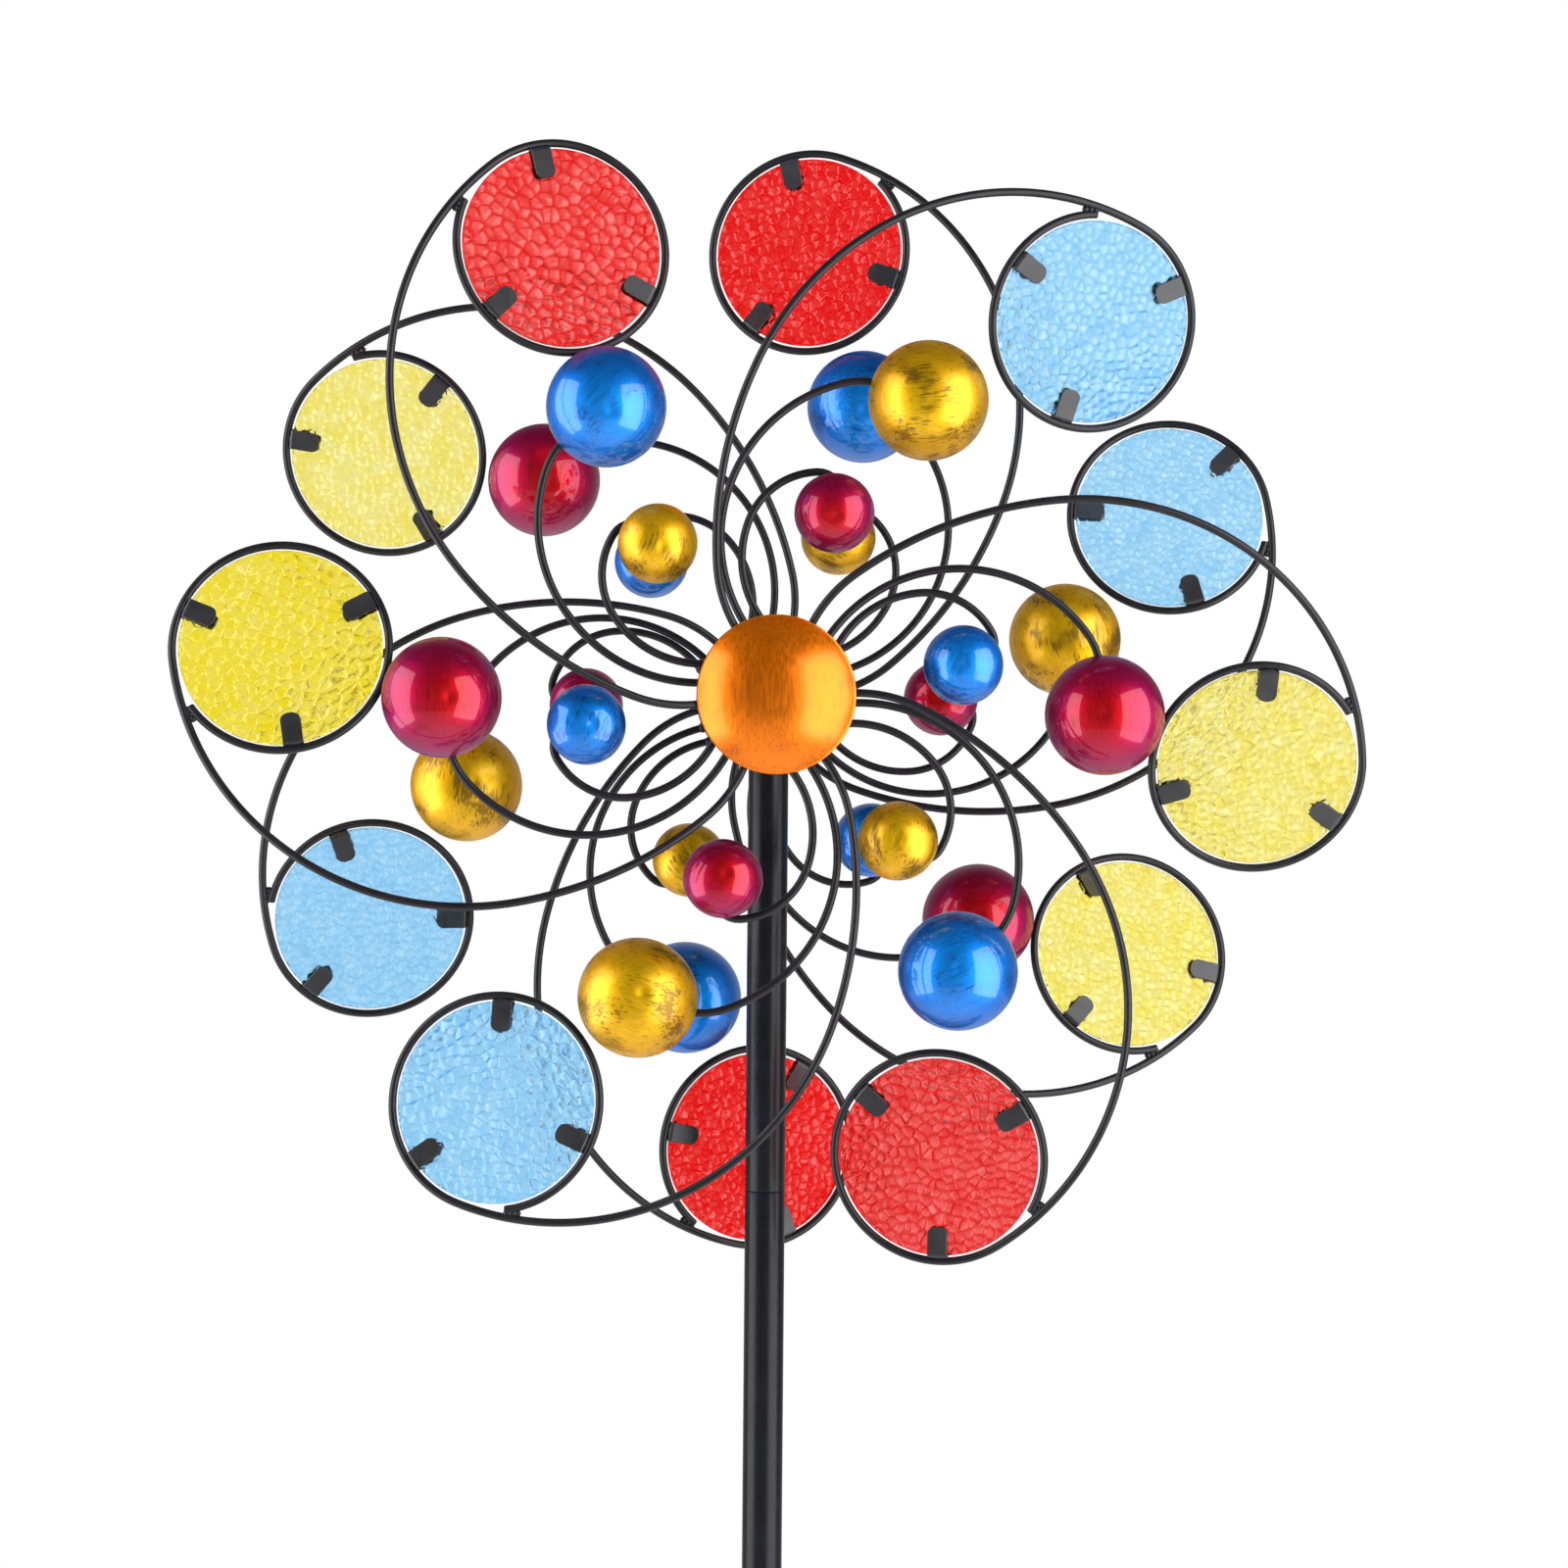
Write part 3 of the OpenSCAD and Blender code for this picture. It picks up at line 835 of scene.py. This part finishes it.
def nut(shape, z0, z1):
    """A hexagonal nut with turned chamfers, in rows from its bore round its outside."""
    sides, ease = 72, 0.3
    across = hexagon(NUT_APOTHEM, sides)
    flat_r = NUT_APOTHEM * 0.97
    drop = (across - flat_r) * math.tan(math.radians(30))
    rows = [(AXLE_R, z0 + ease), (AXLE_R + ease, z0), (flat_r, z0), (across, z0 + drop),
            (across, z1 - drop), (flat_r, z1), (AXLE_R + ease, z1), (AXLE_R, z1 - ease)]
    points = np.concatenate([circle_row(r, z, sides) for r, z in rows])
    shape.add(points, grid_faces(len(rows), sides, closed=True), ON_AXLE)


def front_lock_nut(material):
    """A hexagonal nut with the round collar that holds its nylon ring."""
    z = FRONT_BUSH_END + END_PLAY + WASHER_T
    top, collar_h, foot_r, top_r = z + NUT_H, 2, NUT_APOTHEM - 0.6, NUT_APOTHEM - 1
    shape = Shape()
    nut(shape, z, top - collar_h / 2)
    collar = eased([(AXLE_R, top - collar_h), (foot_r, top - collar_h), (top_r, top), (AXLE_R, top)])
    lathe(shape, collar, ON_AXLE, sides=64)
    piece("front_lock_nut", shape, "head", material)


def rear_cap_nut(material):
    """A hexagonal nut with a hollow dome over the axle's end."""
    z = REAR_BUSH_START - END_PLAY - WASHER_T - NUT_H
    shape = Shape()
    nut(shape, z, z + NUT_H)
    dome = [(CAP_NUT_R * math.sin(a), z - CAP_NUT_R * math.cos(a)) for a in np.linspace(0, math.pi / 2, 20)]
    dome[0] = (0, dome[0][1])
    hollow = [(CAP_NUT_R, z + 1), (AXLE_R, z + 1), (AXLE_R, AXLE_REAR), (0, AXLE_REAR)]
    lathe(shape, dome + hollow, ON_AXLE, sides=64)
    piece("rear_cap_nut", shape, "head", material)


# ---- Pole ----

def saddle_weld(shape, sign):
    """The bead where the axle's sleeve leaves the round pole."""
    bead_r, path_r = 0.8, SLEEVE_R + 0.3
    path = circle_row(path_r, 0, 60)
    path[:, 2] = sign * np.sqrt(POLE_R ** 2 - path[:, 0] ** 2)
    swept(shape, path, ON_AXLE, radius=bead_r, sides=10, loop=True)


def upper_pole(material):
    shape = Shape()
    lathe(shape, ring_outline(POLE_R, BORE_R, SEAM_Z + SEAT_GAP, POLE_TOP), UPRIGHT)
    for sign in (1, -1):
        saddle_weld(shape, sign)
    piece("upper_pole", shape, "head", material)


def pole_top_cap(material):
    low, top, edge, crown_r = POLE_TOP - TOP_CAP_PLUG, POLE_TOP + TOP_CAP_H, 1.2, POLE_R * 0.62
    outline = [(0, low), (BORE_R, low), (BORE_R, POLE_TOP), (POLE_R, POLE_TOP), (POLE_R, top - edge),
               (crown_r, top), (0, top)]
    shape = Shape()
    lathe(shape, eased(outline, edge, closed=False), UPRIGHT)
    piece("pole_top_cap", shape, "head", material)


def pole_section(name, z0, z1, spigot_r, material):
    """A tube from z0 to z1 with a narrower spigot pressed into its top."""
    spigot_in = spigot_r - POLE_WALL
    outline = [(BORE_R, z0), (POLE_R, z0), (POLE_R, z1), (spigot_r, z1), (spigot_r, z1 + SPIGOT),
               (spigot_in, z1 + SPIGOT), (spigot_in, z1 - SPIGOT / 2), (BORE_R, z1 - SPIGOT / 2)]
    shape = Shape()
    lathe(shape, eased(outline), UPRIGHT)
    piece(name, shape, "stake", material)


# ---- Ground stake ----

def prong_path():
    """One prong's centre line, out from the collar and down to its point, and its radii."""
    run = [(x, 0, PRONG_Z) for x in np.linspace(POLE_R + 1, PRONG_REACH - PRONG_BEND, 12, endpoint=False)]
    for a in np.linspace(90, 0, 14):
        c, s = direction(a)
        run.append((PRONG_REACH - PRONG_BEND + PRONG_BEND * c, 0, PRONG_Z - PRONG_BEND + PRONG_BEND * s))
    run += [(PRONG_REACH, 0, z) for z in np.linspace(PRONG_Z - PRONG_BEND, -PRONG_DEPTH, 14)[1:]]
    run += [(PRONG_REACH, 0, z) for z in np.linspace(-PRONG_DEPTH, -PRONG_DEPTH - POINT_LEN, 10)[1:]]
    run = np.array(run)
    deep = np.clip((-PRONG_DEPTH - run[:, 2]) / POINT_LEN, 0, 1)
    return run, PRONG_R + (POINT_R - PRONG_R) * deep


def ground_fork(material):
    shape = Shape()
    edge, bead_r, path_r, proud = 0.8, 1.0, 4.5, 0.2
    lathe(shape, eased([(POLE_R, 0), (COLLAR_R, 0), (COLLAR_R, COLLAR_H), (POLE_R, COLLAR_H)], edge), UPRIGHT)
    run, radii = prong_path()
    ring = circle_row(path_r, 0, 36)[:, :2]
    bead = [(math.sqrt(COLLAR_R ** 2 - y * y) + proud, y, PRONG_Z + z) for y, z in ring]
    for a in range(45, 360, 90):
        place = turned("Z", a)
        swept(shape, run, place, radius=radii, sides=24, cut=0)
        swept(shape, bead, place, radius=bead_r, sides=10, loop=True)
    piece("ground_fork", shape, "stake", material)


def centre_spike(material):
    tip = -SPIKE_LEN - POINT_LEN
    outline = [(0, tip), (POINT_R, tip), (SPIKE_R, -SPIKE_LEN), (SPIKE_R, 0), (POLE_R, 0),
               (POLE_R, FOOT_Z), (0, FOOT_Z)]
    shape = Shape()
    lathe(shape, eased(outline, closed=False), UPRIGHT)
    piece("centre_spike", shape, "stake", material)


def collar_screws(material):
    """Cap screws with a plain hexagonal socket."""
    sides, bevel = 48, 0.25
    socket_apothem, socket_depth = 2.0, 2.2
    head_top = COLLAR_R + SCREW_HEAD_H
    socket, mouth = hexagon(socket_apothem, sides), hexagon(socket_apothem + bevel, sides)
    rows = [(SCREW_R, POLE_R), (SCREW_R, COLLAR_R), (SCREW_HEAD_R - 0.3, COLLAR_R),
            (SCREW_HEAD_R, COLLAR_R + 0.3), (SCREW_HEAD_R, head_top - 0.6),
            (SCREW_HEAD_R - 0.2, head_top - 0.2), (SCREW_HEAD_R - 0.6, head_top), (mouth, head_top),
            (socket, head_top - bevel), (socket, head_top - socket_depth)]
    points = np.concatenate([circle_row(r, z, sides) for r, z in rows])
    shape = Shape()
    for a in (0, 180):
        place = turned("X", 90) @ turned("Y", a) @ shift(0, SCREW_Z, 0)
        shape.add(points, tube_faces(len(rows), sides), place)
    piece("collar_screws", shape, "stake", material)


# ---- Materials ----

def node(tree, kind, inputs=None, **settings):
    """Adds a node. inputs gives its sockets values or links, and settings its own properties."""
    made = tree.nodes.new(kind)
    for key, value in settings.items():
        setattr(made, key, value)
    for key, value in (inputs or {}).items():
        if isinstance(value, bpy.types.NodeSocket):
            tree.links.new(value, made.inputs[key])
        else:
            made.inputs[key].default_value = value
    return made


def new_material(name, **sockets):
    """A material whose shader's sockets are set directly. Returns it with its tree and shader."""
    material = bpy.data.materials.new(name)
    material.use_nodes = True
    tree = material.node_tree
    shader = tree.nodes["Principled BSDF"]
    for key, value in sockets.items():
        shader.inputs[key.replace("_", " ")].default_value = value
    return material, tree, shader


def attribute(tree, name, output="Vector"):
    return node(tree, "ShaderNodeAttribute", attribute_name=name).outputs[output]


def noise(tree, vector, scale, detail=4, roughness=0.5, stretch=None):
    if stretch:
        vector = node(tree, "ShaderNodeMapping", {"Vector": vector, "Scale": stretch}).outputs["Vector"]
    made = node(tree, "ShaderNodeTexNoise",
                {"Vector": vector, "Scale": scale, "Detail": detail, "Roughness": roughness})
    return made.outputs["Fac"]


def ramp(tree, fac, stops):
    """A ramp of colours. stops is a list of (place, colour)."""
    made = node(tree, "ShaderNodeValToRGB", {"Fac": fac})
    elements = made.color_ramp.elements
    while len(elements) < len(stops):
        elements.new(0.5)
    for element, (place, colour) in zip(elements, stops):
        element.position = place
        element.color = (*colour, 1)
    return made.outputs["Color"]


def grey(value):
    return (value, value, value)


def mix(tree, fac, a, b, kind="MIX"):
    made = node(tree, "ShaderNodeMix", data_type="RGBA", blend_type=kind)
    for key, value in (("Factor", fac), ("A", a), ("B", b)):
        socket = next(s for s in made.inputs if s.name == key and s.enabled)
        if isinstance(value, bpy.types.NodeSocket):
            tree.links.new(value, socket)
        else:
            socket.default_value = value if key == "Factor" else (*value, 1)
    return next(s for s in made.outputs if s.enabled)


def uneven(tree, shader, socket, scale, low, high, detail=4):
    """Drives a socket from low to high over the piece, by noise."""
    colour = ramp(tree, noise(tree, place_of(tree), scale, detail), [(0.3, low), (0.7, high)])
    tree.links.new(colour, shader.inputs[socket])


def bump(tree, shader, height, strength, distance):
    made = node(tree, "ShaderNodeBump", {"Height": height, "Strength": strength, "Distance": distance})
    tree.links.new(made.outputs["Normal"], shader.inputs["Normal"])


def place_of(tree):
    """The row frame's own coordinates, which stay with the piece as it moves."""
    return node(tree, "ShaderNodeTexCoord").outputs["Object"]


def black_paint(name, dark, light, rough, specular):
    """Satin black paint over steel, with a faint orange peel and slightly uneven gloss."""
    material, tree, shader = new_material(name, Specular_IOR_Level=specular)
    uneven(tree, shader, "Base Color", 60, dark, light)
    uneven(tree, shader, "Roughness", 130, grey(rough[0]), grey(rough[1]), detail=6)
    bump(tree, shader, noise(tree, place_of(tree), 700, 2), 0.04, 0.00005)
    return material


def pressed_glass(name, deep, pale, vein_colour, glint, blotch, rough):
    """Translucent pressed glass. The tone of each bump runs from deep to pale, with deeper blotches and
    fine veins."""
    material, tree, shader = new_material(
        name, Transmission_Weight=1.0, IOR=1.46, Coat_Weight=0.3, Coat_Roughness=0.2, Coat_IOR=1.45,
        Roughness=rough, Specular_IOR_Level=0.35, Specular_Tint=(*glint, 1))
    where = attribute(tree, "grain")
    tone = attribute(tree, "tone", "Fac")
    coloured = ramp(tree, tone, [(0.0, deep), (1.0, pale)])
    blotches = ramp(tree, noise(tree, where, blotch, 4, 0.6), [(0.40, grey(0.0)), (0.62, grey(0.55))])
    coloured = mix(tree, blotches, coloured, deep)
    veins = ramp(tree, noise(tree, where, 0.5, 5, 0.7), [(0.58, grey(0.0)), (0.70, grey(0.35))])
    coloured = mix(tree, veins, coloured, vein_colour)
    tree.links.new(coloured, shader.inputs["Base Color"])
    bump(tree, shader, noise(tree, where, 0.45, 3), 0.35, 0.0008)
    return material


def lacquer(name, middle, rim, stroke, stroke_share, rough, coat, coat_tint):
    """Lacquer over brushed metal, from middle to rim colour, with patches of dark brush strokes. The rim
    colour is painted light and shade at the dome's edge: darker on the cups as painted shade, lighter on the
    hub cap as a painted highlight. coat is its clear coat's weight and roughness."""
    material, tree, shader = new_material(
        name, Metallic=0.82, Coat_Weight=coat[0], Coat_Roughness=coat[1], Coat_Tint=(*coat_tint, 1))
    where = attribute(tree, "grain")
    rim_shading = attribute(tree, "tone", "Fac")
    strokes = noise(tree, where, 0.9, 5, 0.6, stretch=(1.0, 0.07, 1.0))
    patches = noise(tree, where, 0.06, 2, 0.5)
    # Painted light and shade: the colour runs from middle to rim, darker at a cup's rim as painted shade and
    # lighter at the hub cap's rim as a painted highlight.
    colour = ramp(tree, rim_shading, [(0.25, middle), (1.0, rim)])
    shade = ramp(tree, strokes, [(0.32, grey(0.66)), (0.62, grey(1.0))])
    colour = mix(tree, 1.0, colour, shade, "MULTIPLY")
    dark = ramp(tree, mix(tree, 0.45, strokes, patches),
                [(stroke_share, grey(0.0)), (stroke_share + 0.09, grey(0.8))])
    colour = mix(tree, dark, colour, stroke)
    tree.links.new(colour, shader.inputs["Base Color"])
    tree.links.new(ramp(tree, strokes, [(0.35, grey(rough[0])), (0.7, grey(rough[1]))]),
                   shader.inputs["Roughness"])
    bump(tree, shader, strokes, 0.10, 0.0001)
    return material


def zinc_plate(name):
    """Zinc plating, a little cloudy and warm."""
    material, tree, shader = new_material(name, Metallic=1.0)
    uneven(tree, shader, "Base Color", 160, grey(0.42), (0.62, 0.62, 0.58), detail=5)
    uneven(tree, shader, "Roughness", 300, grey(0.28), grey(0.45), detail=3)
    bump(tree, shader, noise(tree, place_of(tree), 700, 2), 0.1, 0.00005)
    return material


def moulded(name, dark, light, rough):
    """Injection-moulded plastic with a fine spark-eroded texture."""
    material, tree, shader = new_material(name, Roughness=rough)
    uneven(tree, shader, "Base Color", 90, dark, light)
    bump(tree, shader, noise(tree, place_of(tree), 1400, 2), 0.2, 0.00005)
    return material


# ---- The object ----

wire_paint = black_paint("wire_paint", (0.005, 0.005, 0.006), (0.010, 0.009, 0.013), (0.30, 0.38), 0.34)
clip_paint = black_paint("clip_paint", grey(0.012), (0.022, 0.022, 0.027), (0.24, 0.34), 0.5)
pole_paint = black_paint("pole_paint", (0.004, 0.004, 0.006), (0.007, 0.007, 0.011), (0.24, 0.34), 0.22)
glass_paints = [
    pressed_glass("glass_red", (0.84, 0.001, 0.001), (1.0, 0.17, 0.155), (1.0, 0.10, 0.10),
                  (1.0, 0.35, 0.35), 0.10, 0.16),
    pressed_glass("glass_light_blue", (0.22, 0.60, 0.98), (0.56, 0.84, 1.0), (0.80, 0.94, 1.0),
                  (0.8, 0.95, 1.0), 0.12, 0.20),
    pressed_glass("glass_yellow", (0.94, 0.76, 0.01), (0.96, 0.92, 0.44), (1.0, 0.97, 0.50),
                  (1.0, 0.97, 0.7), 0.10, 0.18),
]
# Each cup's rim colour is darker than its middle: painted shade where the dome turns away.
cup_paints = {
    "blue": lacquer("cup_blue", (0.0, 0.30, 0.92), (0.0, 0.15, 0.62), (0.0, 0.03, 0.15), 0.54,
                    (0.40, 0.52), (0.9, 0.08), (0.80, 0.92, 1.0)),
    "gold": lacquer("cup_gold", (0.96, 0.57, 0.0), (0.78, 0.40, 0.0), (0.08, 0.04, 0.0), 0.50,
                    (0.36, 0.48), (0.4, 0.22), (1.0, 0.90, 0.60)),
    "magenta": lacquer("cup_magenta", (0.56, 0.0, 0.005), (0.28, 0.0, 0.095), (0.16, 0.0, 0.01), 0.57,
                       (0.40, 0.50), (0.6, 0.05), (1.0, 0.60, 0.92)),
}
# The cap is darker in the middle and lighter at the rim: painted shade and a painted highlight.
cap_paint = lacquer("cap_paint", (0.88, 0.18, 0.0), (0.95, 0.26, 0.0), (0.42, 0.07, 0.0), 0.56,
                    (0.28, 0.40), (0.3, 0.15), (1.0, 0.88, 0.60))
zinc = zinc_plate("zinc_plate")
nylon = moulded("bush_nylon", (0.50, 0.42, 0.30), (0.60, 0.52, 0.40), 0.5)
black_plastic = moulded("black_plastic", grey(0.012), grey(0.022), 0.48)

for side in (FRONT, REAR):
    for k in range(ARMS):
        outer_wire(side, k, wire_paint)
        glass(side, k, glass_paints[k % 3])
    cup_wires(side, LARGE_CUP, wire_paint)
    cup_wires(side, SMALL_CUP, wire_paint)
    clips(side, clip_paint)
    for first in range(3):
        cups(side, LARGE_CUP, first, cup_paints)
        cups(side, SMALL_CUP, first, cup_paints)
    hub(side, wire_paint)
    bush(side, nylon)
hub_cap(cap_paint)

axle(zinc)
rings("axle_sleeve", pole_paint, "wire", [(-SLEEVE_HALF, SLEEVE_HALF)], SLEEVE_R, AXLE_R)
rings("spacers", zinc, "zinc_steel", [(SLEEVE_HALF, FRONT_BUSH_START - WASHER_T - END_PLAY),
                                      (REAR_BUSH_END + WASHER_T + END_PLAY, -SLEEVE_HALF)], WASHER_R, AXLE_R)
rings("washers", zinc, "zinc_steel",
      [(z, z + WASHER_T) for z in (FRONT_BUSH_START - WASHER_T - END_PLAY, FRONT_BUSH_END + END_PLAY,
                                   REAR_BUSH_END + END_PLAY, REAR_BUSH_START - WASHER_T - END_PLAY)],
      WASHER_R, AXLE_R)
front_lock_nut(zinc)
rear_cap_nut(zinc)

upper_pole(pole_paint)
pole_top_cap(black_plastic)
pole_section("middle_pole", JOINT_Z, SEAM_Z, BORE_R - SWIVEL_PLAY, pole_paint)
pole_section("lower_pole", FOOT_Z, JOINT_Z, BORE_R, pole_paint)
ground_fork(pole_paint)
centre_spike(pole_paint)
collar_screws(zinc)

# ---- Floor, lights and camera ----

HUB = Vector((0, 0, HUB_HEIGHT * MM))


def floor():
    """A pale disc, in metres, that reaches less far than the camera's lowest line of sight."""
    radius, sides, gap = 3.4, 96, 0.001
    mesh = bpy.data.meshes.new("floor")
    mesh.from_pydata(circle_row(radius, cad_box[0].z - gap, sides).tolist(), [], [list(range(sides))])
    material, _, _ = new_material("floor", Base_Color=(0.86, 0.86, 0.86, 1), Roughness=0.6)
    mesh.materials.append(material)
    obj = bpy.data.objects.new("floor", mesh)
    bpy.context.scene.collection.objects.link(obj)


def softbox(name, azimuth, elevation, distance, size, power, mirrored=True):
    """An area light in metres and watts that faces the hub. Azimuth 0 is in front of the object and 90 on
    its right. It shows in reflections only where mirrored."""
    a, e = math.radians(azimuth), math.radians(elevation)
    away = Vector((math.sin(a) * math.cos(e), -math.cos(a) * math.cos(e), math.sin(e)))
    light = bpy.data.lights.new(name, "AREA")
    light.shape = "RECTANGLE"
    light.size, light.size_y = size
    light.energy = power
    obj = bpy.data.objects.new(name, light)
    obj.location = HUB + away * distance
    obj.rotation_euler = away.to_track_quat("Z", "Y").to_euler()
    obj.visible_glossy = mirrored
    bpy.context.scene.collection.objects.link(obj)


def world():
    """Plain white where it is looked at, through glass, and as a fill light. In gloss it is dim, and
    dimmest in front of the object and above."""
    made = bpy.data.worlds.new("studio")
    made.use_nodes = True
    tree = made.node_tree
    path = node(tree, "ShaderNodeLightPath")
    heading = node(tree, "ShaderNodeTexCoord").outputs["Generated"]
    parts = node(tree, "ShaderNodeSeparateXYZ", {"Vector": heading})
    height, behind = parts.outputs["Z"], parts.outputs["Y"]
    low_gloss, high_gloss, rear_gloss, fill, through_glass, white = 0.30, 0.05, 0.5, 0.9, 0.93, 1.0
    gloss = node(tree, "ShaderNodeMapRange", {"Value": height, "From Min": -0.6, "From Max": 0.5,
                                              "To Min": low_gloss, "To Max": high_gloss})
    gloss = node(tree, "ShaderNodeMapRange", {"Value": behind, "From Min": 0.3, "From Max": 0.9,
                                              "To Min": gloss.outputs["Result"], "To Max": rear_gloss})
    light = mix(tree, path.outputs["Is Diffuse Ray"], gloss.outputs["Result"], grey(fill))
    light = mix(tree, path.outputs["Is Transmission Ray"], light, grey(through_glass))
    light = mix(tree, path.outputs["Is Camera Ray"], light, grey(white))
    tree.links.new(light, tree.nodes["Background"].inputs["Color"])
    bpy.context.scene.world = made


def camera():
    """In front of the wheels and a little below the hub, by millimetres along the view's own axes."""
    distance, right, up = 1557.4, 7.7, -44.9
    tilt, swing, roll = math.radians(0.57), math.radians(3.21), math.radians(-0.46)
    view = (Matrix.Rotation(roll, 3, "Z") @ Matrix.Rotation(swing, 3, "Y") @ Matrix.Rotation(tilt, 3, "X"))
    to_row = Matrix(((1, 0, 0), (0, 0, -1), (0, 1, 0)))
    turn = to_row @ view.transposed()
    data = bpy.data.cameras.new("camera")
    data.sensor_width = 36
    data.lens = 69.24
    data.clip_end = 50
    obj = bpy.data.objects.new("camera", data)
    obj.matrix_world = Matrix.Translation(HUB + turn @ Vector((right, up, distance)) * MM) @ turn.to_4x4()
    bpy.context.scene.collection.objects.link(obj)
    bpy.context.scene.camera = obj


floor()
softbox("left_softbox", -76, 0, 1.3, (1.1, 2.0), 28)
softbox("right_softbox", 54, 0, 1.3, (1.3, 2.0), 33)
softbox("top_softbox", -20, 62, 1.6, (1.6, 0.8), 12, mirrored=False)
world()
camera()
bpy.context.scene.view_settings.view_transform = "Standard"
